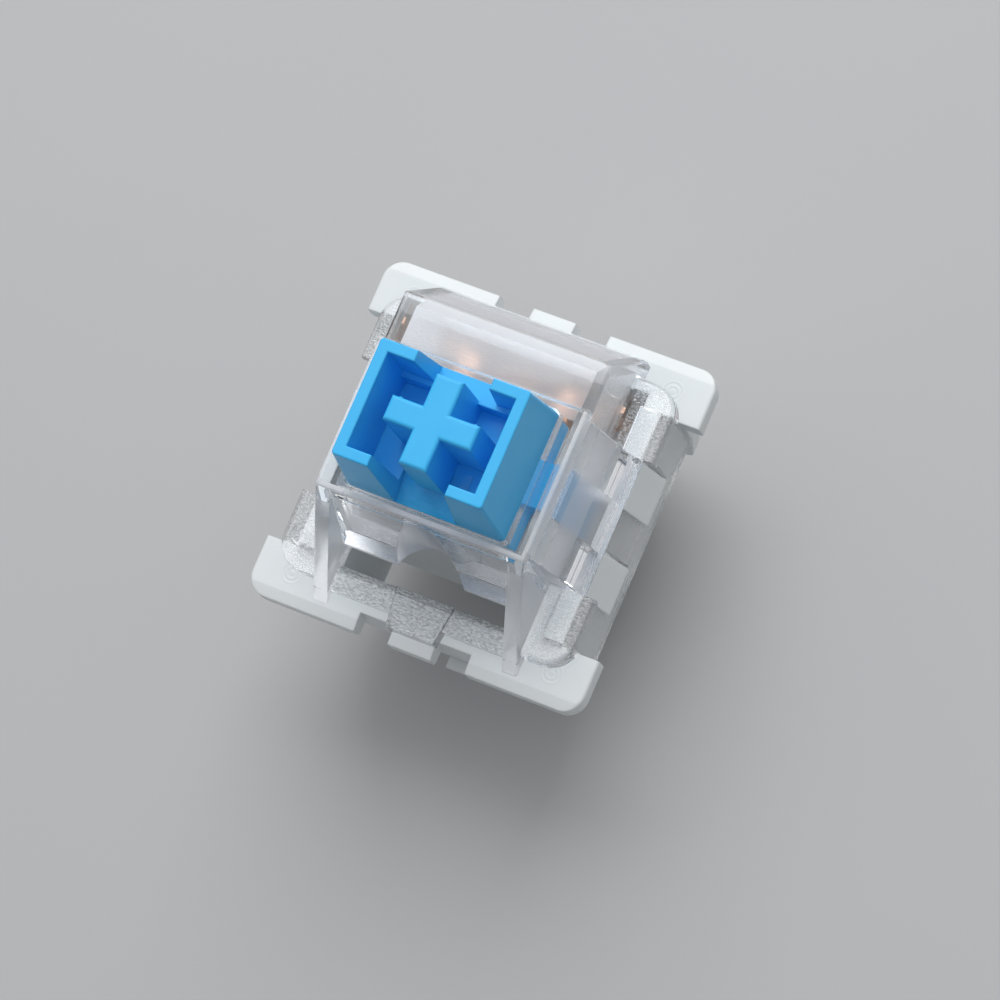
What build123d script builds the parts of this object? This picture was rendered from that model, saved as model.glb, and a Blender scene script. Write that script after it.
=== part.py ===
from build123d import *
import os

# Mechanical keyboard switch with a click collar and a clear upper housing.
# Millimetres. The origin is the centre of the lower housing's underside, which
# sits on the circuit board. +Z is up, along the key's travel. The light window
# faces -Y and the contacts stand on the +Y side.

# ---- standard sizes of the family ----
cutout = 14.0                 # square hole in the mounting plate
plate_thickness = 1.5
seat_z = 5.0                  # underside of the flange, above the board
housing_top_z = 11.6
stem_top_z = 15.2
travel = 4.0
post_radius = 2.0             # centre post, in a hole in the board
post_length = 3.3
fixed_pin_xy = (-3.81, 2.54)
moving_pin_xy = (2.54, 5.08)
led_y = -5.08                 # centre line of a round light under the window

# ---- clearances ----
cutout_clearance = 0.025      # lower housing to plate hole, each side
seam = 0.05                   # between pieces that are clipped together
slide_gap = 0.10              # each side, between flat sliding faces
bore_gap = 0.07               # radial, round sliding fits
stop_gap = 0.05               # between a stop and what rests on it
floor_gap = 0.10              # left under the collar at full travel
pin_gap = 0.02                # round the solder pins in the floor
arm_gap = 0.14                # between a leaf arm and its cam at rest
contact_gap = 0.29            # between the contact points at rest

# ---- lower housing ----
board_half = 6.3              # half width at the board, below the plate hole's straight band
body_corner = 0.5
body_chamfer = 0.3
floor_thickness = 1.0
side_wall = 0.9
end_wall = 1.025
flange_thickness = 1.0
flange_lip = 0.8              # flange beyond the plate hole
flange_corner = 0.9
flange_edge = 0.12
ear_side_length = 2.5         # corner ear, along Y
ear_end_length = 5.2          # corner ear, along X
tab_half = 1.0                # middle tab on the front and on the rear
lip_width = 0.5               # slightly lower edge along the flange's ends
lip_fall = 0.12
recess_depth = 0.775          # side recess that takes the clip legs
recess_draft = 0.35           # recess draws in below the legs
side_wall_rise = 0.4          # side wall above the flange
bay_half = 4.2                # light bay, through the floor
bay_front_wall = 1.325
bay_wall = 0.42               # between the light bay and the mechanism
front_notch_half = 1.6        # notch at the foot of the front wall
front_notch_z = 2.4
latch_inner = 0.95            # pair of lugs that holds the plate
latch_outer = 1.85
latch_root = 0.35             # lug starts this far outside the cavity
latch_reach = 0.5
latch_height = 1.0
latch_fall = 0.1              # slope of a lug's top
latch_edge = 0.3              # lower end of a lug's outer edge
latch_slit = 0.3
tube_wall = 0.45              # spring tube on the floor
tube_height = 3.3
post_floor = 0.8              # closed lower end of the hollow post
post_chamfer = 0.4
rib_thickness = 0.4           # ribs beside the stem's rails

# ---- clip nubs and clip legs ----
nub_y = 2.05
nub_half = 1.05
nub_reach = 0.75
nub_height = 2.0
nub_undercut = 0.1
leg_thickness = 0.63
leg_drop = 2.8                # clip leg below the top of the flange
leg_end_gap = 0.1             # leg to the recess's ends
leg_bar = 1.1                 # bar left below each clip window
lean_lift = 0.3               # end of the leg's slope above the nubs' lower side
window_gap = 0.1

# ---- clear upper housing ----
wall = 0.62
lid_thickness = 1.2
side_rim = 1.08               # rim beside the stem opening
block_edge = 0.12
front_rim = 0.42
rear_rim = 0.32
rear_step = 0.6               # rear deck, below the rim
rear_run = 1.5                # depth of the sloped rear face
rear_overlap = 0.125          # foot of the rear face beyond the lower housing
pad_height = 1.0              # corner pads above the flange
pad_corner = 1.3
pad_edge = 0.25
pad_setback = 0.625           # pads to the lower housing's end faces
bulge_half_y = 3.1            # side bulges round the rails
bulge_inset = 0.2             # foot of a bulge inside the clip leg
bulge_foot_rise = 0.1         # foot of a bulge above the pads
foot_height = 1.1             # front wall's foot above the flange
slot_width = 0.8              # light slot in front of the front wall
strut_thickness = 0.7
strut_overlap = 0.175
bar_width = 1.1
bar_setback = 0.375
bar_thickness = 0.62
tongue_back_half = 1.35
tongue_front_half = 1.1
tongue_overlap = 0.275
tongue_rise = 0.22
ridge_count = 4
ridge_depth = 0.06
lens_radius = 1.6             # half-round recess over the light
lens_top_drop = 0.3

# ---- stem ----
head_half_x = 3.40            # head at its top
head_half_y = 2.60
head_wall = 0.5
skirt_half_x = 3.62           # below the housing's top
skirt_half_y = 2.88
stem_corner = 0.15
stem_edge = 0.06
cross_length = 4.0
cross_bar_x = 1.10            # thickness of the bar along X
cross_bar_y = 1.25            # thickness of the bar along Y
cross_edge = 0.15
crush_nib = 0.07
head_floor_rise = 0.1         # floor of the head above the housing's top
front_gap_half = 1.75         # gap in the head's front wall, at its top
rear_gap_half = 1.70
gap_taper = 0.3
bridge_height = 0.9           # low wall across the rear gap
bridge_thickness = 0.75
ramp_fall = 0.35              # slope of the head's floor towards the front
deck_thickness = 1.0
skirt_wall = 0.55
skirt_play = 0.2              # skirt above the collar's highest place
rail_half = 1.0
rail_reach = 0.68
rail_thickness = 0.75
rail_top_drop = 1.6           # top of a rail below the housing's top
rail_lift = 0.4               # foot of a rail above the collar's lowest place
spring_space = 0.45           # between the spring tube and the stem's core
core_wall = 0.4
core_lift = 0.45              # core's end above the collar's underside
hook_reach = 0.4
hook_height = 0.35
hook_half = 0.8
guide_pin_radius = 0.98
guide_pin_play = 0.7          # guide pin to the post's floor at full travel
guide_pin_tip = 0.3

# ---- click collar ----
collar_wall = 0.38
collar_side_gap = 0.3         # collar to the rails
collar_height = 2.5
collar_corner = 0.5
collar_free_play = 1.1
cam_x = 2.3
cam_half = 0.35
cam_reach = 0.56
cam_flat = 0.8
cam_height = 2.4

# ---- return spring ----
spring_wire = 0.2
spring_turns = 9
spring_stations = 20          # sections of the wire in each turn
wire_sides = 8

# ---- contacts ----
pin_width = 0.9
pin_thickness = 0.3
pin_tip = 0.5
pin_tip_share = 0.6           # width of a pin's end, as a share of the pin
blade_sheet = 0.25
blade_setback = 0.3           # fixed blade behind the leaf arms' tips
blade_half = 0.75
blade_drop = 0.2              # top of the blade below the leaf's panel
link_height = 2.4
leaf_sheet = 0.12
leaf_margin = 0.05            # leaf beyond its arms
leaf_lift = 0.3               # leaf's lower edge above the floor
leaf_slot_bottom = 1.3        # slots beside the tongue, above the lower edge
leaf_tongue_half = 0.7
arm_rise = 1.1                # arm's crown above its contact line
arm_bend = 0.3
arm_drop = 0.6                # arm's end below its contact line
arm_return = 0.25
anchor_height = 2.2
anchor_half = 4.1
wing_height = 4.5             # ends of the anchor plate, beside the leaf
wing_gap = 0.15
point_drop = 0.9              # contact points below the arms' contact line
point_length = 0.9
point_width = 0.36

# ---- values that several pieces share ----
beyond = 2 * cutout           # well outside every piece, for cutting tools
body_half = cutout / 2 - cutout_clearance
flange_half = cutout / 2 + flange_lip
flange_top_z = seat_z + flange_thickness
band_z = seat_z - plate_thickness    # lower end of the straight band in the plate hole
shell_z = flange_top_z + seam    # underside of the upper housing
recess_x = body_half - recess_depth
recess_half = flange_half - ear_side_length
cavity_x = recess_x - side_wall
cavity_y = body_half - end_wall
side_wall_top_z = flange_top_z + side_wall_rise
tube_radius = guide_pin_radius + bore_gap + tube_wall
core_radius = tube_radius + spring_space + core_wall
spring_radius = tube_radius + spring_space / 2
collar_bottom_z = floor_thickness + travel + floor_gap
collar_top_z = collar_bottom_z + collar_height
collar_half_y = core_radius + bore_gap + collar_wall
skirt_bottom_z = collar_top_z + collar_free_play + skirt_play
core_bottom_z = collar_bottom_z + core_lift
deck_bottom_z = housing_top_z - deck_thickness
head_floor_z = housing_top_z + head_floor_rise
bridge_top_z = head_floor_z + bridge_height
rail_x = skirt_half_x + rail_reach
rail_top_z = housing_top_z - rail_top_drop
rail_bottom_z = collar_bottom_z + rail_lift
collar_half_x = rail_x - rail_thickness - collar_side_gap
rail_channel_x = rail_x + slide_gap
rail_channel_half = rail_half + slide_gap
stop_z = rail_top_z + stop_gap
opening_half_x = skirt_half_x + slide_gap
opening_half_y = skirt_half_y + slide_gap
well_front_y = -(max(skirt_half_y, collar_half_y) + slide_gap + seam)
bay_back_y = well_front_y - bay_wall
bay_front_y = -(body_half - bay_front_wall)
block_half_x = opening_half_x + side_rim
window_half = block_half_x - strut_thickness
skirt_z = flange_top_z + pad_height
bulge_foot_z = skirt_z + bulge_foot_rise
foot_z = flange_top_z + foot_height
bay_wall_top_z = foot_z - 4 * seam
leg_x0 = recess_x + seam
leg_x1 = leg_x0 + leg_thickness
leg_half = recess_half - leg_end_gap
leg_end_z = flange_top_z - leg_drop
nub_bottom_z = side_wall_top_z - nub_height
bulge_foot_x = leg_x0 - bulge_inset
bar_front_y = -(body_half - bar_setback)
bar_back_y = bar_front_y + bar_width
tongue_front_y = -(body_half + tongue_overlap)
tongue_top_z = flange_top_z + bar_thickness + tongue_rise
front_wall_foot_y = bar_back_y + slot_width
rear_foot_y = body_half + rear_overlap
rear_top_y = rear_foot_y - rear_run
rear_deck_z = housing_top_z - rear_step
cam_tip_y = collar_half_y + cam_reach
arm_front_y = cam_tip_y + arm_gap
arm_contact_z = collar_bottom_z + cam_flat / 2
blade_front_y = arm_front_y + blade_setback
link_top_z = floor_thickness + link_height
leaf_back_y = moving_pin_xy[1] - pin_thickness / 2
leaf_front_y = leaf_back_y - leaf_sheet
leaf_bottom_z = floor_thickness + leaf_lift
leaf_top_z = arm_contact_z + seam
leaf_half = cam_x + cam_half + leaf_margin
point_z = arm_contact_z - point_drop
point_depth = (leaf_front_y - blade_front_y - blade_sheet - contact_gap) / 2


def span(x0, x1, y0, y1, z0, z1):
    """Rectangular block between two corners."""
    size = (x1 - x0, y1 - y0, z1 - z0)
    middle = ((x0 + x1) / 2, (y0 + y1) / 2, (z0 + z1) / 2)
    return Pos(*middle) * Box(*size)


def along_x(outline, x0, x1):
    """Prism along X from an outline of (y, z) points."""
    face = make_face(Polyline(*outline, close=True))
    return Pos(x0, 0, 0) * extrude(Plane.YZ * face, x1 - x0)


def along_y(outline, y0, y1):
    """Prism along Y from an outline of (x, z) points."""
    face = make_face(Polyline(*outline, close=True))
    return Pos(0, y1, 0) * extrude(Plane.XZ * face, y1 - y0)


def along_z(outline, z0, z1):
    """Prism along Z from an outline of (x, y) points."""
    face = make_face(Polyline(*outline, close=True))
    return Pos(0, 0, z0) * extrude(face, z1 - z0)


def rounded_block(width, depth, corner, z0, z1):
    """Upright block with rounded corners, centred on the Z axis."""
    return Pos(0, 0, z0) * extrude(RectangleRounded(width, depth, corner), z1 - z0)


def rod(radius, z0, z1, x=0, y=0):
    """Upright cylinder."""
    return Pos(x, y, (z0 + z1) / 2) * Cylinder(radius, z1 - z0)


def both_sides_x(shape):
    """The shape and its mirror image across the YZ plane."""
    return shape + mirror(shape, about=Plane.YZ)


def both_sides_y(shape):
    """The shape and its mirror image across the XZ plane."""
    return shape + mirror(shape, about=Plane.XZ)


def terminal_pin(x, y, width_x, width_y, top_z):
    """Flat solder pin through the floor, with a tapered end."""
    shank = span(x - width_x / 2, x + width_x / 2, y - width_y / 2, y + width_y / 2,
                 -post_length + pin_tip, top_z)
    tip_top = Pos(x, y, -post_length + pin_tip) * Rectangle(width_x, width_y)
    tip_end = Pos(x, y, -post_length) * Rectangle(width_x * pin_tip_share, width_y * pin_tip_share)
    return shank + loft([tip_end, tip_top])


def pin_slot(x, y, width_x, width_y):
    """Slot in the floor for one solder pin."""
    half_x = width_x / 2 + pin_gap
    half_y = width_y / 2 + pin_gap
    return span(x - half_x, x + half_x, y - half_y, y + half_y, -1, floor_thickness + 1)


def flange():
    """Four corner ears and two middle tabs round the lower housing."""
    slab = rounded_block(2 * flange_half, 2 * flange_half, flange_corner, seat_z, flange_top_z)
    slab = fillet(slab.edges().group_by(Axis.Z)[-1], flange_edge)
    slab = chamfer(slab.edges().group_by(Axis.Z)[0], flange_edge)
    side_cut = span(body_half, beyond, -recess_half, recess_half, seat_z - 1, flange_top_z + 1)
    slab -= both_sides_x(side_cut)
    notch = span(tab_half, flange_half - ear_end_length, body_half, beyond,
                 seat_z - 1, flange_top_z + 1)
    slab -= both_sides_x(both_sides_y(notch))
    lip = [(flange_half - lip_width, flange_top_z), (flange_half, flange_top_z - lip_fall),
           (flange_half, flange_top_z + 1), (flange_half - lip_width, flange_top_z + 1)]
    return slab - both_sides_y(along_x(lip, -beyond, beyond))


def clip_nub():
    """Ramp on the side wall that a clip window snaps over."""
    outline = [(recess_x - seam, side_wall_top_z),
               (recess_x, side_wall_top_z),
               (recess_x + nub_reach, nub_bottom_z),
               (recess_x, nub_bottom_z - nub_undercut),
               (recess_x - seam, nub_bottom_z - nub_undercut)]
    return along_y(outline, nub_y - nub_half, nub_y + nub_half)


def plate_latch():
    """Lug that holds the mounting plate, beside a middle tab."""
    root_y = cavity_y + latch_root
    outline = [(root_y, band_z),
               (body_half + latch_reach, band_z - latch_fall),
               (body_half + latch_reach, band_z - latch_edge),
               (root_y, band_z - latch_height)]
    return along_x(outline, latch_inner, latch_outer)


def lower_block():
    """Straight band in the plate hole, and walls that draw in to the board below it."""
    band = rounded_block(2 * body_half, 2 * body_half, body_corner, band_z, flange_top_z)
    top = Pos(0, 0, band_z) * RectangleRounded(2 * body_half, 2 * body_half, body_corner)
    foot = RectangleRounded(2 * board_half, 2 * board_half, body_corner)
    base = loft([foot, top])
    return band + chamfer(base.edges().group_by(Axis.Z)[0], body_chamfer)


def clip_recess():
    """Recess in a side wall for the clip leg, open down to the board."""
    outline = [(recess_x, flange_top_z + 1), (recess_x, leg_end_z), (recess_x - recess_draft, 0),
               (recess_x - recess_draft, -1), (beyond, -1), (beyond, flange_top_z + 1)]
    return along_y(outline, -recess_half, recess_half)


def bottom_housing():
    body = lower_block() + flange()
    body -= both_sides_x(clip_recess())
    # side walls stand a little above the flange, inside the upper housing
    rise = span(cavity_x, recess_x, -recess_half + seam, recess_half - seam,
                flange_top_z - seam, side_wall_top_z)
    body += both_sides_x(rise)
    # mechanism well, light bay and the wall between them
    body -= span(-cavity_x, cavity_x, well_front_y, cavity_y, floor_thickness, housing_top_z)
    body -= span(-bay_half, bay_half, bay_front_y, bay_back_y, -1, flange_top_z + 1)
    body += span(-bay_half, bay_half, bay_back_y, well_front_y, flange_top_z - seam, bay_wall_top_z)
    body -= span(-front_notch_half, front_notch_half, -beyond, bay_front_y, -1, front_notch_z)
    # clips
    body += both_sides_x(both_sides_y(clip_nub()))
    body += both_sides_x(both_sides_y(plate_latch()))
    slit_x = latch_outer + 2 * seam
    slit = span(slit_x, slit_x + latch_slit, cavity_y, beyond, -1, band_z - latch_slit)
    body -= both_sides_x(slit)
    # hollow centre post with the spring tube above it
    post = rod(post_radius, -post_length, floor_thickness)
    post = chamfer(post.edges().group_by(Axis.Z)[0], post_chamfer)
    body += post
    body += rod(tube_radius, floor_thickness - seam, floor_thickness + tube_height)
    body -= rod(guide_pin_radius + bore_gap, -post_length + post_floor, housing_top_z)
    # ribs that guide the stem's rails
    rib = span(opening_half_x, cavity_x + seam, rail_channel_half,
               rail_channel_half + rib_thickness, floor_thickness - seam, flange_top_z)
    body += both_sides_x(both_sides_y(rib))
    # slots for the solder pins
    body -= pin_slot(*fixed_pin_xy, pin_thickness, pin_width)
    body -= pin_slot(*moving_pin_xy, pin_width, pin_thickness)
    return body


def edges_above(shape, height):
    """Edges that reach above a height."""
    return [edge for edge in shape.edges() if edge.bounding_box().max.Z > height + seam]


def corner_pads():
    """Low rounded pads at the four corners of the upper housing."""
    pad_half_y = body_half - pad_setback
    plate = rounded_block(2 * leg_x1, 2 * pad_half_y, pad_corner, shell_z, skirt_z)
    plate = fillet(plate.edges().group_by(Axis.Z)[-1], pad_edge)
    inner = block_half_x - seam
    keep = span(inner, beyond, bulge_half_y, beyond, flange_top_z, skirt_z)
    return plate & both_sides_x(both_sides_y(keep))


def clip_legs():
    """Side walls that reach down over the lower housing; the seat for its wall is cut later."""
    inner_x = bulge_foot_x - wall
    outline = [(inner_x, skirt_z), (bulge_foot_x, bulge_foot_z), (leg_x1, nub_bottom_z + lean_lift),
               (leg_x1, leg_end_z), (inner_x, leg_end_z)]
    lean = along_y(outline, -bulge_half_y, bulge_half_y)
    outer = span(inner_x, leg_x1, bulge_half_y, leg_half, leg_end_z, skirt_z - pad_edge)
    return both_sides_x(lean + both_sides_y(outer))


def front_bar():
    """Bar and ridged tongue below the light window."""
    bar = span(-block_half_x, block_half_x, bar_front_y, bar_back_y,
               shell_z, flange_top_z + bar_thickness)
    outline = [(-tongue_back_half, bar_back_y), (tongue_back_half, bar_back_y),
               (tongue_front_half, tongue_front_y), (-tongue_front_half, tongue_front_y)]
    tongue = along_z(outline, shell_z, tongue_top_z)
    pitch = (bar_back_y - tongue_front_y) / (ridge_count + 1)
    for number in range(ridge_count):
        y = bar_back_y - (number + 1) * pitch
        tongue -= span(-2, 2, y - pitch / 4, y + pitch / 4, tongue_top_z - ridge_depth, tongue_top_z + 1)
    return bar + tongue


def outer_form():
    """Outside of the upper housing, still solid."""
    front_top_y = -(opening_half_y + front_rim)
    rear_step_y = opening_half_y + rear_rim
    outline = [(-(body_half + strut_overlap), shell_z), (front_top_y, housing_top_z),
               (rear_step_y, housing_top_z), (rear_step_y + 2 * seam, rear_deck_z),
               (rear_top_y, rear_deck_z), (rear_foot_y, skirt_z), (rear_foot_y, shell_z)]
    form = along_x(outline, -block_half_x, block_half_x)
    form = fillet(edges_above(form, skirt_z), block_edge)
    # cutting the window leaves a strut at each end of the sloped front wall
    window = [(front_top_y, housing_top_z), (front_wall_foot_y, foot_z),
              (front_wall_foot_y, flange_top_z - 1), (-beyond, flange_top_z - 1),
              (-beyond, housing_top_z)]
    form -= along_x(window, -window_half, window_half)
    bulge = [(-bulge_foot_x, shell_z), (-bulge_foot_x, bulge_foot_z),
             (-block_half_x, housing_top_z), (block_half_x, housing_top_z),
             (bulge_foot_x, bulge_foot_z), (bulge_foot_x, shell_z)]
    bulges = along_y(bulge, -bulge_half_y, bulge_half_y)
    form += fillet(edges_above(bulges, bulge_foot_z), block_edge)
    form += corner_pads()
    form += clip_legs()
    return form + front_bar()


def block_hollow():
    """Space inside the main block, for the stem and the contacts."""
    ceiling_z = housing_top_z - lid_thickness
    slope = rear_run / (rear_deck_z - skirt_z)
    ceiling_y = rear_foot_y - wall - slope * (ceiling_z - skirt_z)
    outline = [(well_front_y, flange_top_z - 1), (well_front_y, ceiling_z),
               (ceiling_y, ceiling_z), (rear_foot_y - wall, skirt_z),
               (rear_foot_y - wall, flange_top_z - 1)]
    return along_x(outline, -block_half_x + wall, block_half_x - wall)


def rail_channels():
    """Channels for the stem's rails, up to their stops."""
    inner_x = bulge_foot_x - wall
    outline = [(0, flange_top_z - 1), (inner_x, flange_top_z - 1), (inner_x, skirt_z),
               (rail_channel_x, stop_z), (0, stop_z)]
    return both_sides_x(along_y(outline, -rail_channel_half, rail_channel_half))


def clip_windows():
    """Four holes in the clip legs, one over each nub."""
    half = nub_half + window_gap
    hole = span(leg_x0 - seam, leg_x1 + 1, nub_y - half, nub_y + half,
                leg_end_z + leg_bar, side_wall_top_z + seam)
    return both_sides_x(both_sides_y(hole))


def top_housing():
    shell = outer_form()
    shell -= block_hollow()
    shell -= rail_channels()
    # room for the lower housing's standing walls
    shell -= both_sides_x(span(cavity_x - seam, leg_x0, -recess_half, recess_half,
                               leg_end_z - 1, side_wall_top_z + seam))
    shell -= span(-bay_half - seam, bay_half + seam, bay_back_y - seam, well_front_y,
                  flange_top_z - 1, bay_wall_top_z + seam)
    shell -= span(-window_half, window_half, front_wall_foot_y, well_front_y,
                  flange_top_z - 1, foot_z)
    shell -= clip_windows()
    # half-round recess over the light
    shell -= rod(lens_radius, tongue_top_z + seam, housing_top_z - lens_top_drop, 0, led_y)
    # opening for the stem
    opening = rounded_block(2 * opening_half_x, 2 * opening_half_y, stem_corner + slide_gap,
                            stop_z - 1, housing_top_z + 1)
    return shell - opening


def cross():
    """Plus-shaped peg that a keycap is pushed on to."""
    height = stem_top_z - head_floor_z + seam
    arm_x = Pos(0, 0, head_floor_z - seam) * extrude(Rectangle(cross_length, cross_bar_x), height)
    arm_y = Pos(0, 0, head_floor_z - seam) * extrude(Rectangle(cross_bar_y, cross_length), height)
    peg = fillet((arm_x + arm_y).edges().group_by(Axis.Z)[-1], cross_edge)
    nib_x = cross_length / 2 - 2 * cross_edge
    nib = rod(crush_nib * 2, head_floor_z, stem_top_z - 2 * cross_edge, nib_x, cross_bar_x / 2 - crush_nib)
    return peg + both_sides_x(nib)


def head_gap(half, foot_z):
    """Outline of a gap in the head's wall, narrower at its foot."""
    foot_half = half - gap_taper
    return [(-half, stem_top_z + 1), (-half, stem_top_z), (-foot_half, foot_z),
            (foot_half, foot_z), (half, stem_top_z), (half, stem_top_z + 1)]


def stem():
    # flared head, open in the middle of its front and rear
    foot = Pos(0, 0, housing_top_z) * RectangleRounded(2 * skirt_half_x, 2 * skirt_half_y, stem_corner)
    top = Pos(0, 0, stem_top_z) * RectangleRounded(2 * head_half_x, 2 * head_half_y, stem_corner)
    head = loft([foot, top])
    inner_x = head_half_x - head_wall
    inner_y = head_half_y - head_wall
    head -= span(-inner_x, inner_x, -inner_y, inner_y, head_floor_z, stem_top_z + 1)
    head -= along_y(head_gap(front_gap_half, head_floor_z), -beyond, -inner_y + seam)
    head -= along_y(head_gap(rear_gap_half, bridge_top_z), inner_y - seam, beyond)
    head = fillet(head.edges().group_by(Axis.Z)[-1], stem_edge)
    head += span(-inner_x - seam, inner_x + seam, head_half_y - bridge_thickness, inner_y + seam,
                 head_floor_z - seam, bridge_top_z)
    # the floor slopes down to the front
    ramp_y = -head_half_y / 3
    ramp = [(ramp_y, head_floor_z), (-beyond, head_floor_z - ramp_fall * (beyond + ramp_y)),
            (-beyond, head_floor_z)]
    floor = rounded_block(2 * skirt_half_x, 2 * skirt_half_y, stem_corner, skirt_bottom_z, housing_top_z)
    body = head + floor
    ramp_half = front_gap_half - gap_taper
    body -= along_x(ramp, -ramp_half, ramp_half)
    body += cross()
    # hollow skirt below the deck
    body -= rounded_block(2 * (skirt_half_x - skirt_wall), 2 * (skirt_half_y - skirt_wall),
                          stem_corner, skirt_bottom_z - 1, deck_bottom_z)
    # tubular core that carries the click collar
    core = rod(core_radius, core_bottom_z, deck_bottom_z + seam)
    hook = rod(core_radius + hook_reach, core_bottom_z, core_bottom_z + hook_height)
    hook &= span(-beyond, beyond, -hook_half, hook_half, 0, housing_top_z)
    core += hook
    core -= rod(core_radius - core_wall, core_bottom_z - 1, deck_bottom_z)
    body += core
    # guide pin down the middle of the spring
    pin_end_z = -post_length + post_floor + travel + guide_pin_play
    pin = rod(guide_pin_radius, pin_end_z, deck_bottom_z + seam)
    pin = chamfer(pin.edges().group_by(Axis.Z)[0], guide_pin_tip)
    body += pin
    # side rails
    rail = span(rail_x - rail_thickness, rail_x, -rail_half, rail_half, rail_bottom_z, rail_top_z)
    body += both_sides_x(rail)
    return body


def click_jacket():
    """Collar that hangs on the stem's hooks and snaps past the leaf's arms."""
    collar = rounded_block(2 * collar_half_x, 2 * collar_half_y, collar_corner,
                           collar_bottom_z, collar_top_z)
    outline = [(collar_half_y - seam, collar_bottom_z), (cam_tip_y, collar_bottom_z),
               (cam_tip_y, collar_bottom_z + cam_flat), (collar_half_y, collar_bottom_z + cam_height),
               (collar_half_y - seam, collar_bottom_z + cam_height)]
    collar += both_sides_x(along_x(outline, cam_x - cam_half, cam_x + cam_half))
    collar -= rod(core_radius + bore_gap, collar_bottom_z - 1, collar_top_z + 1)
    hook_top_z = core_bottom_z + hook_height + stop_gap
    slot_x = core_radius + hook_reach + slide_gap
    slot_half = hook_half + slide_gap
    collar -= span(-slot_x, slot_x, -slot_half, slot_half, collar_bottom_z - 1, hook_top_z)
    return collar


def return_spring():
    bottom_z = floor_thickness + stop_gap + spring_wire / 2
    top_z = deck_bottom_z - stop_gap - spring_wire / 2
    path = Helix(pitch=(top_z - bottom_z) / spring_turns, height=top_z - bottom_z, radius=spring_radius)
    count = spring_turns * spring_stations
    sections = []
    for number in range(count + 1):
        share = number / count
        station = Plane(path @ share, x_dir=(0, 0, 1), z_dir=path % share)
        sections.append(station * RegularPolygon(spring_wire / 2, wire_sides))
    return Pos(0, 0, bottom_z) * loft(sections, ruled=True)


def fixed_terminal():
    """Solder pin, web, link and upright blade of the fixed contact."""
    x, y = fixed_pin_xy
    x0 = x - pin_thickness / 2
    x1 = x + pin_thickness / 2
    metal = terminal_pin(x, y, pin_thickness, pin_width, link_top_z)
    back_y = blade_front_y + blade_sheet
    low_z = floor_thickness + seam
    metal += span(x0, x1, y - pin_width / 2, back_y, low_z, link_top_z)
    metal += span(x0, blade_half, blade_front_y, back_y, low_z, link_top_z)
    metal += span(-blade_half, blade_half, blade_front_y, back_y, low_z, leaf_top_z - blade_drop)
    return metal


def moving_terminal():
    """Solder pin and anchor plate that the contact leaf is welded to."""
    x, y = moving_pin_xy
    top_z = floor_thickness + anchor_height
    low_z = floor_thickness + seam
    back_y = leaf_back_y + pin_thickness
    metal = terminal_pin(x, y, pin_width, pin_thickness, top_z)
    metal += span(-anchor_half, anchor_half, leaf_back_y, back_y, low_z, top_z)
    wing = span(leaf_half + wing_gap, anchor_half, leaf_back_y, back_y,
                low_z, floor_thickness + wing_height)
    return metal + both_sides_x(wing)


def contact_leaf():
    """Thin spring sheet with a middle tongue and two arms bent to the cams."""
    panel = span(-leaf_half, leaf_half, leaf_front_y, leaf_back_y, leaf_bottom_z, leaf_top_z)
    slot = span(leaf_tongue_half, cam_x - cam_half, leaf_front_y - 1, leaf_back_y + 1,
                leaf_bottom_z + leaf_slot_bottom, leaf_top_z + 1)
    panel -= both_sides_x(slot)
    middle_y = (leaf_front_y + leaf_back_y) / 2
    tip_y = arm_front_y + leaf_sheet / 2
    crown_z = arm_contact_z + arm_rise
    path = FilletPolyline((middle_y, leaf_top_z - arm_bend), (middle_y, crown_z), (tip_y, crown_z),
                          (tip_y, arm_contact_z), (tip_y + arm_return, arm_contact_z - arm_drop),
                          radius=arm_bend)
    strip = Plane.YZ * trace(path, leaf_sheet)
    arm = Pos(cam_x - cam_half, 0, 0) * extrude(strip, 2 * cam_half)
    return panel + both_sides_x(arm)


def fixed_contact_point():
    """Small bar across the fixed blade."""
    back_y = blade_front_y + blade_sheet
    outline = [(back_y, point_z - point_width / 2), (back_y + point_depth, point_z - point_width / 6),
               (back_y + point_depth, point_z + point_width / 6), (back_y, point_z + point_width / 2)]
    return along_x(outline, -point_length / 2, point_length / 2)


def moving_contact_point():
    """Small upright bar on the leaf's tongue, crossing the fixed one."""
    outline = [(-point_width / 2, leaf_front_y), (-point_width / 6, leaf_front_y - point_depth),
               (point_width / 6, leaf_front_y - point_depth), (point_width / 2, leaf_front_y)]
    return along_z(outline, point_z - point_length / 2, point_z + point_length / 2)


pieces = {
    "bottom_housing": bottom_housing,
    "top_housing": top_housing,
    "stem": stem,
    "click_jacket": click_jacket,
    "return_spring": return_spring,
    "fixed_terminal": fixed_terminal,
    "moving_terminal": moving_terminal,
    "contact_leaf": contact_leaf,
    "fixed_contact_point": fixed_contact_point,
    "moving_contact_point": moving_contact_point,
}

os.makedirs("parts", exist_ok=True)
for name, make in pieces.items():
    export_step(make(), "parts/" + name + ".step")
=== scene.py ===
import functools
import math

import bmesh
import bpy
from mathutils import Matrix, Vector

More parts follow.
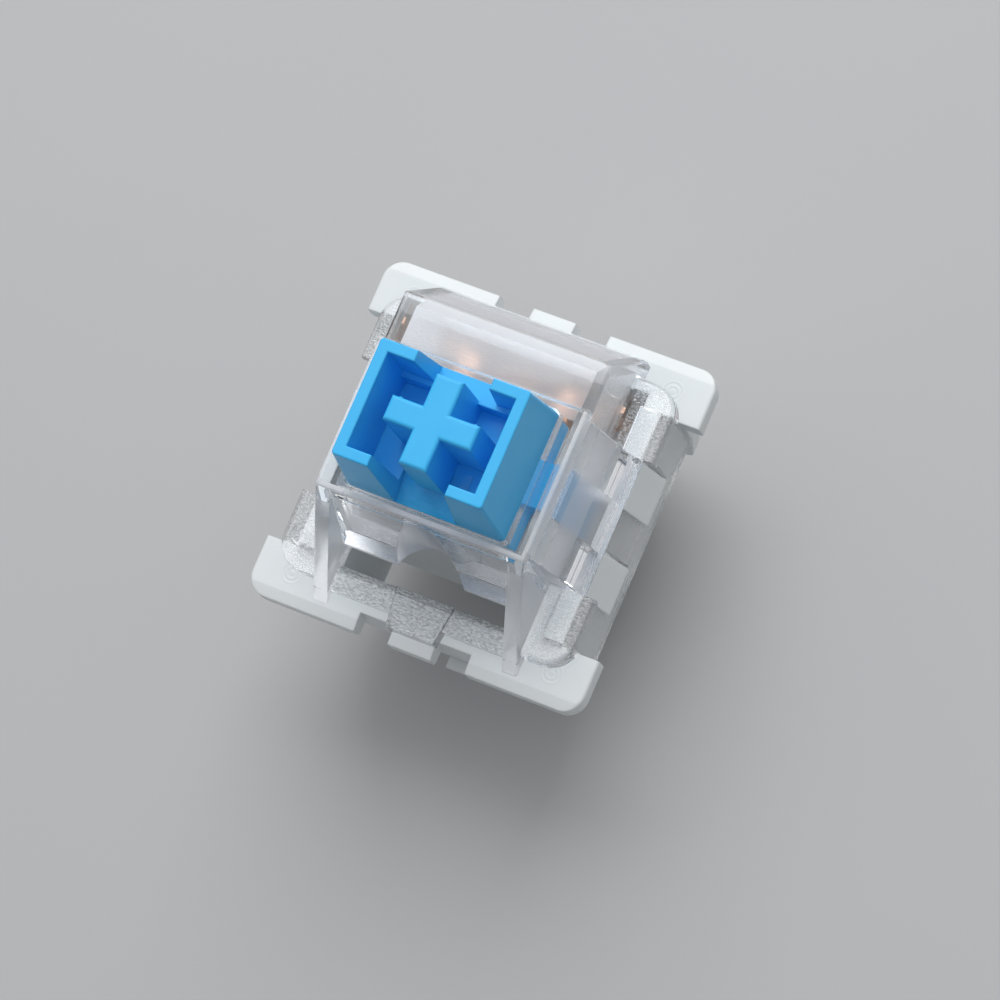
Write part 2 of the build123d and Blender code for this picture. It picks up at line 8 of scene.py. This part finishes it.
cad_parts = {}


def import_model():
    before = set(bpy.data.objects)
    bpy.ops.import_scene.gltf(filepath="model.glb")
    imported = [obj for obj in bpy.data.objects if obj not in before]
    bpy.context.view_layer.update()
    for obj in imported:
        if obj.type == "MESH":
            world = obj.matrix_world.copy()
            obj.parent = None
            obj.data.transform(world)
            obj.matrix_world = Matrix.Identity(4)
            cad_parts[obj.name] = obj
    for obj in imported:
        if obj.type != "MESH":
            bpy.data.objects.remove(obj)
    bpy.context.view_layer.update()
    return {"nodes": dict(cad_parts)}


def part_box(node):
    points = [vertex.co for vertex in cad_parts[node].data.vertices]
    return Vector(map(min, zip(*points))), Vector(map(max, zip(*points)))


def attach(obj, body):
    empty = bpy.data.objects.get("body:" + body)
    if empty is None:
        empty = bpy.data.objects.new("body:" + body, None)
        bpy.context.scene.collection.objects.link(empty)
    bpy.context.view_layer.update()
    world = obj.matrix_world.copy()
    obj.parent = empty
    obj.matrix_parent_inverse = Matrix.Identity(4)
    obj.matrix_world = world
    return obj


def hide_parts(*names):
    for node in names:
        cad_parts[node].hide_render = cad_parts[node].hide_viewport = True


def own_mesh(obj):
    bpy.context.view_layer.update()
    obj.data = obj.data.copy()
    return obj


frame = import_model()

MM = 0.001


def mm(*values):
    """Values in mm, as a tuple of metres."""
    return tuple(value * MM for value in values)


def around(level, margin=0.05 * MM):
    """Thin range round a level."""
    return level - margin, level + margin


# ---- places and levels that the looks share with the solids ----
LOW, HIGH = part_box("top_housing")
STEM_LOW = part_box("stem")[0]
FLOOR_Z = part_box("bottom_housing")[0].z
SPRING_LOW, SPRING_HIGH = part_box("return_spring")
FLANGE_TOP_Z = HIGH.z - 5.6 * MM          # the upper housing stands on the flange
CEILING_Z = HIGH.z - 1.2 * MM             # underside of the upper housing's lid
BAR_TOP_Z = FLANGE_TOP_Z + 0.62 * MM
PAD_TOP_Z = FLANGE_TOP_Z + MM
FOOT_Z = FLANGE_TOP_Z + 1.1 * MM          # foot of the sloped front wall
LEG_INNER_X = HIGH.x - 0.63 * MM
RECESS_Y = -5.08 * MM                     # axis of the half-round recess over the light
RECESS_RADIUS = 1.6 * MM
EJECTOR_XY = mm(6.1, 6.45)                # ejector pin marks on the flange's ears
SWIRL_XY = mm(-6.0, -4.86)                # swirl on one corner pad

# ---- linear colours: a pair is the two ends of a slight variation ----
MILKY_WHITE = (0.785, 0.82, 0.82), (0.825, 0.855, 0.855)
SKY_BLUE = (0.05, 0.50, 0.95), (0.07, 0.55, 0.99)
COLLAR_WHITE = (0.80, 0.82, 0.83), (0.86, 0.87, 0.88)
COPPER_TONES = (0.76, 0.40, 0.24), (0.84, 0.50, 0.32)
GOLD_TONES = (0.90, 0.66, 0.27), (0.95, 0.73, 0.34)
STEEL_TONES = (0.62, 0.63, 0.65), (0.70, 0.71, 0.73)
FLOOR_GREY = (0.50, 0.505, 0.515), (0.53, 0.535, 0.54)
CLEAR_TINTS = (0.985, 0.988, 0.995), (0.94, 0.94, 0.975)     # polished, frosted
THROUGH_TINT = (0.96, 0.965, 0.97, 1)     # of light that goes straight through the clear moulding
SKY_LOW = (0.12, 0.125, 0.14, 1)
SKY_HIGH = (0.95, 0.96, 0.98, 1)

# ---- finishes of the clear moulding ----
# Zones by finish, as ranges of |x|, y and z. A range that is left out is not limited.
RIM_Z = (HIGH.z - 0.5 * MM, HIGH.z + MM)
FOOT_EDGE_Z = (FOOT_Z - 0.05 * MM, FOOT_Z + 0.15 * MM)
CLEAR_ZONES = {
    "eroded_and_shaded": [
        # top of the bar, ridged tongue; their dark speckle is grain and partly painted shade
        dict(y=mm(-6.75, -5.4), z=around(BAR_TOP_Z)),
        dict(x=mm(0, 1.4), y=(LOW.y - 0.1 * MM, -5.5 * MM), z=(BAR_TOP_Z, BAR_TOP_Z + 0.3 * MM)),
    ],
    "legs": [dict(x=(LEG_INNER_X - 0.1 * MM, LEG_INNER_X + 0.03 * MM), y=mm(-5.25, 5.25))],
    "frosted": [
        # rail channels, ceiling behind the stem, underside of the front wall
        dict(x=mm(3.9, 5.6), y=mm(-3.3, 3.3), z=mm(6.5, 10.3)),
        dict(x=mm(0, 4.25), y=mm(2.9, 6.6), z=(7 * MM, CEILING_Z + 0.05 * MM)),
        dict(x=mm(0, 4.2), y=mm(-4.6, -2.9), z=mm(6, 7.2)),
    ],
    "ground": [
        # rim at the block's sides and front, foot of the front wall
        dict(x=mm(4.62, 5.2), y=mm(-3.4, 3.3), z=RIM_Z),
        dict(x=mm(0, 4.84), y=mm(-3.45, -3.2), z=RIM_Z),
        dict(x=mm(1.5, 4.1), y=mm(-4.75, -4.6), z=FOOT_EDGE_Z),
    ],
    "struts": [dict(x=mm(4.05, 4.95), y=mm(-7.3, -3.6), z=(FLANGE_TOP_Z, 10.9 * MM))],
    "rear": [dict(x=mm(0, 4.95), y=mm(4.7, 7.3), z=(7.2 * MM, HIGH.z + MM))],
    "pads": [dict(x=mm(4.95, 7.2), y=mm(-6.5, 6.5), z=around(PAD_TOP_Z))],
}
# Zones of the same kind that count only on the round wall of the recess.
RECESS_ZONES = {
    "frosted": dict(y=mm(-4.9, -3.4), z=mm(7.25, 11.2)),
    "ground": dict(x=mm(0, 1.7), z=FOOT_EDGE_Z),
}
# haze is the share of light that scatters, and relief the strength of the grain's bump.
CLEAR_FINISHES = {
    "eroded_and_shaded": dict(relief=1.0, roughness=0.2),
    "legs": dict(relief=0.7, roughness=0.2),
    "frosted": dict(haze=0.24, relief=0.16, roughness=0.36),
    "ground": dict(haze=0.55, relief=0.6, roughness=0.5),
    "struts": dict(haze=0.26, relief=0.3, roughness=0.3),
    "rear": dict(haze=0.16),
    "pads": dict(relief=0.22),
}
POLISHED_ROUGHNESS = 0.03
GRAIN_RANGE = (0.36, 0.64)                # of the grain noise, from dark to bright speckle; the dark speckle also paints shade on the bar and tongue
SPARKLE_RANGE = (0.40, 0.64)


# ---- node helpers ----
class Nodes:
    """Builds one material's node tree."""

    def __init__(self, name):
        self.material = bpy.data.materials.new(name)
        self.material.use_nodes = True
        self.tree = self.material.node_tree
        self.tree.nodes.clear()
        self.output = self.add("ShaderNodeOutputMaterial")

    def add(self, kind, **settings):
        node = self.tree.nodes.new(kind)
        for key, value in settings.items():
            setattr(node, key, value)
        return node

    def link(self, source, target):
        self.tree.links.new(source, target)

    def value(self, source, target):
        """Feeds a socket with another socket or with a constant."""
        if isinstance(source, bpy.types.NodeSocket):
            self.link(source, target)
        else:
            target.default_value = source

    def math(self, operation, first, second=0.0):
        node = self.add("ShaderNodeMath", operation=operation)
        self.value(first, node.inputs[0])
        self.value(second, node.inputs[1])
        return node.outputs[0]

    def position(self):
        """Object coordinates, which are the row frame in metres."""
        return self.add("ShaderNodeTexCoord").outputs["Object"]

    def axes(self):
        """Separate x, y and z of the position."""
        split = self.add("ShaderNodeSeparateXYZ")
        self.link(self.position(), split.inputs[0])
        return split.outputs

    def noise(self, cells, detail=3.0, roughness=0.55, stretch=(1, 1, 1)):
        """Noise with so many cells to the metre."""
        mapping = self.add("ShaderNodeMapping")
        mapping.inputs["Scale"].default_value = stretch
        self.link(self.position(), mapping.inputs["Vector"])
        node = self.add("ShaderNodeTexNoise")
        node.inputs["Scale"].default_value = cells
        node.inputs["Detail"].default_value = detail
        node.inputs["Roughness"].default_value = roughness
        self.link(mapping.outputs[0], node.inputs["Vector"])
        return node.outputs["Fac"]

    def ramp(self, source, before, after):
        """Maps one range of the source to another."""
        node = self.add("ShaderNodeMapRange")
        self.link(source, node.inputs["Value"])
        for name, value in zip(("From Min", "From Max", "To Min", "To Max"), (*before, *after)):
            node.inputs[name].default_value = value
        return node.outputs["Result"]

    def colour(self, source, first, second):
        """Mixes two colours by the source. Each is a constant or a socket."""
        node = self.add("ShaderNodeMix", data_type="RGBA")
        self.link(source, node.inputs["Factor"])
        for end, name in ((first, "A"), (second, "B")):
            self.value((*end, 1) if isinstance(end, tuple) else end, node.inputs[name])
        return node.outputs["Result"]

    def between(self, source, low, high):
        """1 where the source lies between low and high."""
        above = self.math("GREATER_THAN", source, low)
        below = self.math("LESS_THAN", source, high)
        return self.math("MULTIPLY", above, below)

    def product(self, *sources):
        """Product of masks and amounts, so 1 where every mask is 1."""
        return functools.reduce(lambda total, source: self.math("MULTIPLY", total, source), sources)

    def largest(self, *sources):
        """Largest of masks or amounts, so 1 where any mask is 1."""
        return functools.reduce(lambda total, source: self.math("MAXIMUM", total, source), sources)

    def inside(self, **ranges):
        """1 inside a box given by ranges of x, y and z. x counts on both sides."""
        split = self.axes()
        masks = []
        for axis, limits in ranges.items():
            source = split[axis.upper()]
            if axis == "x":
                source = self.math("ABSOLUTE", source)
            masks.append(self.between(source, *limits))
        return self.product(*masks)

    def distance(self, x, y, mirrored=True):
        """Distance in plan from an upright axis, mirrored to all four corners unless told otherwise."""
        split = self.axes()
        squares = []
        for source, centre in ((split[0], x), (split[1], y)):
            if mirrored:
                source = self.math("ABSOLUTE", source)
            offset = self.math("SUBTRACT", source, centre)
            squares.append(self.math("MULTIPLY", offset, offset))
        return self.math("SQRT", self.math("ADD", *squares))

    def rings(self, distance, radius, pitch):
        """Fine rings round an axis, out to a radius."""
        wave = self.math("SINE", self.math("MULTIPLY", distance, 2 * math.pi / pitch))
        return self.math("MULTIPLY", wave, self.math("LESS_THAN", distance, radius))

    def rounded(self, radius):
        """Normal with its sharp edges softened over a radius."""
        node = self.add("ShaderNodeBevel", samples=4)
        node.inputs["Radius"].default_value = radius
        return node.outputs[0]

    def bump(self, height, strength, distance, normal):
        """Relief of a height on top of another normal."""
        node = self.add("ShaderNodeBump")
        self.value(strength, node.inputs["Strength"])
        node.inputs["Distance"].default_value = distance
        self.link(height, node.inputs["Height"])
        self.link(normal, node.inputs["Normal"])
        return node.outputs[0]

    def principled(self, **inputs):
        """The surface shader. Names use underscores for spaces."""
        node = self.add("ShaderNodeBsdfPrincipled")
        for key, value in inputs.items():
            self.value(value, node.inputs[key.replace("_", " ")])
        return node.outputs[0]

    def lit_through(self, shader, tint):
        """Lets rays from the lamps and rays that gather soft light pass straight through a clear shader."""
        straight = self.add("ShaderNodeBsdfTransparent")
        straight.inputs["Color"].default_value = tint
        for ray in ("Is Shadow Ray", "Is Diffuse Ray"):
            mix = self.add("ShaderNodeMixShader")
            self.link(self.add("ShaderNodeLightPath").outputs[ray], mix.inputs[0])
            self.link(shader, mix.inputs[1])
            self.link(straight.outputs[0], mix.inputs[2])
            shader = mix.outputs[0]
        return shader

    def finish(self, shader):
        self.link(shader, self.output.inputs["Surface"])
        return self.material


# ---- materials ----
def milky_plastic():
    """Milky white moulding: satin, and the light sinks into it. Faint rings mark its ejector pins."""
    n = Nodes("milky_plastic")
    rings = n.rings(n.distance(*EJECTOR_XY), radius=0.5 * MM, pitch=0.2 * MM)
    on_flange = n.inside(z=around(FLANGE_TOP_Z, 0.1 * MM))
    edges = n.rounded(0.09 * MM)
    marks = n.bump(n.product(rings, on_flange), strength=0.25, distance=0.02 * MM, normal=edges)
    shader = n.principled(
        Base_Color=n.colour(n.noise(cells=260, detail=2), *MILKY_WHITE),
        Roughness=n.ramp(n.noise(cells=1400), (0.3, 0.7), (0.28, 0.40)),
        Normal=n.bump(n.noise(cells=9000, detail=2), strength=0.12, distance=0.01 * MM, normal=marks),
        Subsurface_Weight=0.35, Subsurface_Radius=(0.9, 1.0, 1.0), Subsurface_Scale=0.5 * MM, IOR=1.5)
    return n.finish(shader)


def clear_masks(n):
    """Where each finish of the clear moulding lies."""
    on_recess = n.between(n.distance(0, RECESS_Y, mirrored=False), *around(RECESS_RADIUS))
    masks = {name: n.largest(*(n.inside(**zone) for zone in zones))
             for name, zones in CLEAR_ZONES.items()}
    for name, zone in RECESS_ZONES.items():
        masks[name] = n.largest(masks[name], n.product(on_recess, n.inside(**zone)))
    return masks


def clear_plastic():
    """Clear moulding: polished outside, rough where the mould was roughened by spark erosion or left as
    cut. The dark speckle on the bar and tongue is partly painted shade.
    """
    n = Nodes("clear_plastic")
    masks = clear_masks(n)

    def strongest(quality, *others):
        """Largest amount of one quality among the finishes that a place has."""
        amounts = [n.product(masks[name], finish[quality])
                   for name, finish in CLEAR_FINISHES.items() if quality in finish]
        return n.largest(*others, *amounts)

    grain = n.noise(cells=14000, detail=2, roughness=0.6, stretch=(0.45, 1, 1))
    # dark speckle of the bar and tongue: grain, and partly painted shade of the gap beneath and the block's
    # shadow
    speckle_and_painted_shade = n.ramp(grain, GRAIN_RANGE, (0.34, 0.93))
    sparkle = n.ramp(grain, SPARKLE_RANGE, (0.0, 0.38))
    haze = strongest("haze", n.product(masks["pads"], sparkle))
    flow = n.noise(cells=420, detail=1)
    wavy = n.bump(flow, strength=0.10, distance=0.02 * MM, normal=n.rounded(0.06 * MM))
    swirl = n.rings(n.distance(*SWIRL_XY, mirrored=False), radius=0.6 * MM, pitch=0.24 * MM)
    on_pad = n.inside(z=around(PAD_TOP_Z))
    marked = n.bump(n.product(swirl, on_pad), strength=0.5, distance=0.03 * MM, normal=wavy)
    glass = n.principled(
        Base_Color=n.colour(masks["eroded_and_shaded"], n.colour(masks["frosted"], *CLEAR_TINTS), speckle_and_painted_shade),
        Roughness=strongest("roughness", POLISHED_ROUGHNESS),
        Normal=n.bump(grain, strength=strongest("relief"), distance=0.06 * MM, normal=marked),
        Transmission_Weight=n.math("SUBTRACT", 1.0, haze), IOR=1.585)
    return n.finish(n.lit_through(glass, THROUGH_TINT))


def blue_plastic():
    """Sky blue acetal, glossier and rippled on the floor that slopes to the front."""
    n = Nodes("blue_plastic")
    slope = n.inside(x=mm(0, 1.5), y=(STEM_LOW.y - MM, -0.8 * MM), z=(10 * MM, HIGH.z + 0.2 * MM))
    grain = n.noise(cells=12000, detail=2)
    ripple = n.noise(cells=2600, detail=1)
    fine = n.bump(grain, strength=0.14, distance=0.008 * MM, normal=n.rounded(0.08 * MM))
    shader = n.principled(
        Base_Color=n.colour(n.noise(cells=900), *SKY_BLUE),
        Roughness=n.ramp(slope, (0, 1), (0.33, 0.12)),
        Normal=n.bump(ripple, strength=n.product(slope, 0.9), distance=0.05 * MM, normal=fine),
        Subsurface_Weight=0.06, Subsurface_Radius=(0.1, 0.5, 1.0), Subsurface_Scale=0.3 * MM, IOR=1.47,
        Specular_IOR_Level=0.3)
    return n.finish(shader)


def white_plastic():
    """Satin white acetal of the click collar."""
    n = Nodes("white_plastic")
    grain = n.noise(cells=11000, detail=2)
    shader = n.principled(
        Base_Color=n.colour(n.noise(cells=700), *COLLAR_WHITE), Roughness=0.36,
        Normal=n.bump(grain, strength=0.12, distance=0.008 * MM, normal=n.rounded(0.05 * MM)),
        Subsurface_Weight=0.2, Subsurface_Radius=(1, 1, 1), Subsurface_Scale=0.4 * MM)
    return n.finish(shader)


def metal(name, tones, roughness, stretch, cells=6000):
    """Drawn or rolled metal. Its fine lines run along the axis with the smallest stretch factor."""
    n = Nodes(name)
    lines = n.noise(cells, detail=4, stretch=stretch)
    shader = n.principled(
        Base_Color=n.colour(n.noise(cells=1500), *tones), Metallic=1.0,
        Normal=n.bump(lines, strength=0.25, distance=0.006 * MM, normal=n.rounded(0.03 * MM)),
        Roughness=n.ramp(lines, (0.3, 0.7), (roughness - 0.06, roughness + 0.08)))
    return n.finish(shader)


def floor_paint():
    """Plain pale studio floor."""
    n = Nodes("studio_floor")
    return n.finish(n.principled(Base_Color=n.colour(n.noise(cells=30), *FLOOR_GREY), Roughness=0.7))


def use_material(obj, material):
    obj.data.materials.clear()
    obj.data.materials.append(material)


# ---- dress the CAD nodes ----
COPPER = metal("contact_copper", COPPER_TONES, roughness=0.3, stretch=(1, 1, 0.15))
GOLD = metal("contact_gold", GOLD_TONES, roughness=0.24, stretch=(1, 0.2, 1))
STEEL = metal("spring_steel", STEEL_TONES, roughness=0.28, stretch=(1, 1, 0.2), cells=9000)
MATERIALS = {
    "bottom_housing": milky_plastic(),
    "top_housing": clear_plastic(),
    "stem": blue_plastic(),
    "click_jacket": white_plastic(),
    "fixed_terminal": COPPER,
    "moving_terminal": COPPER,
    "contact_leaf": COPPER,
    "fixed_contact_point": GOLD,
    "moving_contact_point": GOLD,
}
for node_name, node_material in MATERIALS.items():
    use_material(frame["nodes"][node_name], node_material)


# ---- return spring with closed end coils ----
WIRE = 0.2 * MM
TURNS = 12
CLOSED_TURNS = 1.5                        # at each end
CLOSED_PITCH = 1.02 * WIRE                # rise of one closed turn
STEPS_PER_TURN = 40
WIRE_SIDES = 12


def mesh_object(name, data):
    obj = bpy.data.objects.new(name, data)
    bpy.context.scene.collection.objects.link(obj)
    return obj


def spring_height(turn, height):
    """Rise of the wire's centre: closed coils at both ends, open coils between."""
    if turn < CLOSED_TURNS:
        return turn * CLOSED_PITCH
    if turn > TURNS - CLOSED_TURNS:
        return height - (TURNS - turn) * CLOSED_PITCH
    span = height - 2 * CLOSED_TURNS * CLOSED_PITCH
    return CLOSED_TURNS * CLOSED_PITCH + span * (turn - CLOSED_TURNS) / (TURNS - 2 * CLOSED_TURNS)


def return_spring():
    """Real coils in place of the plain tube of the source."""
    radius = (SPRING_HIGH.x - SPRING_LOW.x - WIRE) / 2
    height = SPRING_HIGH.z - SPRING_LOW.z - WIRE
    up = Vector((0, 0, 1))
    bm = bmesh.new()
    rings = []
    for step in range(TURNS * STEPS_PER_TURN + 1):
        turn = step / STEPS_PER_TURN
        angle = 2 * math.pi * turn
        outward = Vector((math.cos(angle), math.sin(angle), 0))
        centre = outward * radius + up * (SPRING_LOW.z + WIRE / 2 + spring_height(turn, height))
        ring = []
        for side in range(WIRE_SIDES):
            tilt = 2 * math.pi * side / WIRE_SIDES
            offset = outward * math.cos(tilt) + up * math.sin(tilt)
            ring.append(bm.verts.new(centre + WIRE / 2 * offset))
        rings.append(ring)
    for first, second in zip(rings, rings[1:]):
        for side in range(WIRE_SIDES):
            other = (side + 1) % WIRE_SIDES
            bm.faces.new((first[side], first[other], second[other], second[side]))
    bm.faces.new(rings[0])
    bm.faces.new(reversed(rings[-1]))
    bmesh.ops.recalc_face_normals(bm, faces=bm.faces)
    data = bpy.data.meshes.new("coil_spring")
    bm.to_mesh(data)
    bm.free()
    data.polygons.foreach_set("use_smooth", [True] * len(data.polygons))
    spring = mesh_object("coil_spring", data)
    use_material(spring, STEEL)
    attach(spring, "housing")
    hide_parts("return_spring")
    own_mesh(spring)


return_spring()


# ---- floor, lamp, world and camera ----
FLOOR_HALF = 1.5
SWITCH_CENTRE = Vector((0, 0, 6 * MM))
SKY_SLOPE = (-0.15, 0.45, 1.0)            # the room brightens along this direction
SKY_FULL = 0.85                           # how far along it the room is at its brightest


def floor():
    data = bpy.data.meshes.new("floor")
    signs = ((-1, -1), (1, -1), (1, 1), (-1, 1))
    corners = [(x * FLOOR_HALF, y * FLOOR_HALF, FLOOR_Z) for x, y in signs]
    data.from_pydata(corners, [], [(0, 1, 2, 3)])
    obj = mesh_object("floor", data)
    use_material(obj, floor_paint())


def lamp(name, place, size, power):
    """Square soft box that faces the switch."""
    data = bpy.data.lights.new(name, "AREA")
    data.shape = "SQUARE"
    data.size = size
    data.energy = power
    obj = mesh_object(name, data)
    obj.location = place
    obj.rotation_euler = (SWITCH_CENTRE - Vector(place)).to_track_quat("-Z", "Y").to_euler()


def world():
    """Pale room, brightest overhead and a little brighter behind than in front."""
    room = bpy.data.worlds.new("room")
    room.use_nodes = True
    tree = room.node_tree
    background = tree.nodes["Background"]
    coordinates = tree.nodes.new("ShaderNodeTexCoord")
    height = tree.nodes.new("ShaderNodeVectorMath")
    height.operation = "DOT_PRODUCT"
    height.inputs[1].default_value = SKY_SLOPE
    ramp = tree.nodes.new("ShaderNodeValToRGB")
    stops = ((0.0, SKY_LOW), (SKY_FULL, SKY_HIGH))
    for element, (position, colour) in zip(ramp.color_ramp.elements, stops):
        element.position = position
        element.color = colour
    tree.links.new(coordinates.outputs["Generated"], height.inputs[0])
    tree.links.new(height.outputs["Value"], ramp.inputs["Fac"])
    tree.links.new(ramp.outputs["Color"], background.inputs["Color"])
    background.inputs["Strength"].default_value = 0.7
    bpy.context.scene.world = room


def camera():
    """Long lens from high above the front right corner, rolled as the photo is."""
    aim = Vector((-0.613, 0.455, 0.833)) * MM
    distance = 223 * MM
    azimuth = math.radians(62.172)
    elevation = math.radians(70.078)
    roll = math.radians(-40.101)
    away = Vector((
        math.cos(elevation) * math.sin(azimuth),
        -math.cos(elevation) * math.cos(azimuth),
        math.sin(elevation)))
    data = bpy.data.cameras.new("camera")
    data.sensor_width = 36
    data.lens = 187.09
    data.clip_start = 0.005
    data.clip_end = 10
    obj = mesh_object("camera", data)
    turn = (-away).to_track_quat("-Z", "Y").to_matrix() @ Matrix.Rotation(roll, 3, "Z")
    obj.matrix_world = Matrix.Translation(aim + away * distance) @ turn.to_4x4()
    bpy.context.scene.camera = obj


floor()
lamp("key_lamp", place=(-0.05, 0.19, 0.25), size=0.27, power=0.61)
world()
camera()
bpy.context.scene.view_settings.view_transform = "Standard"
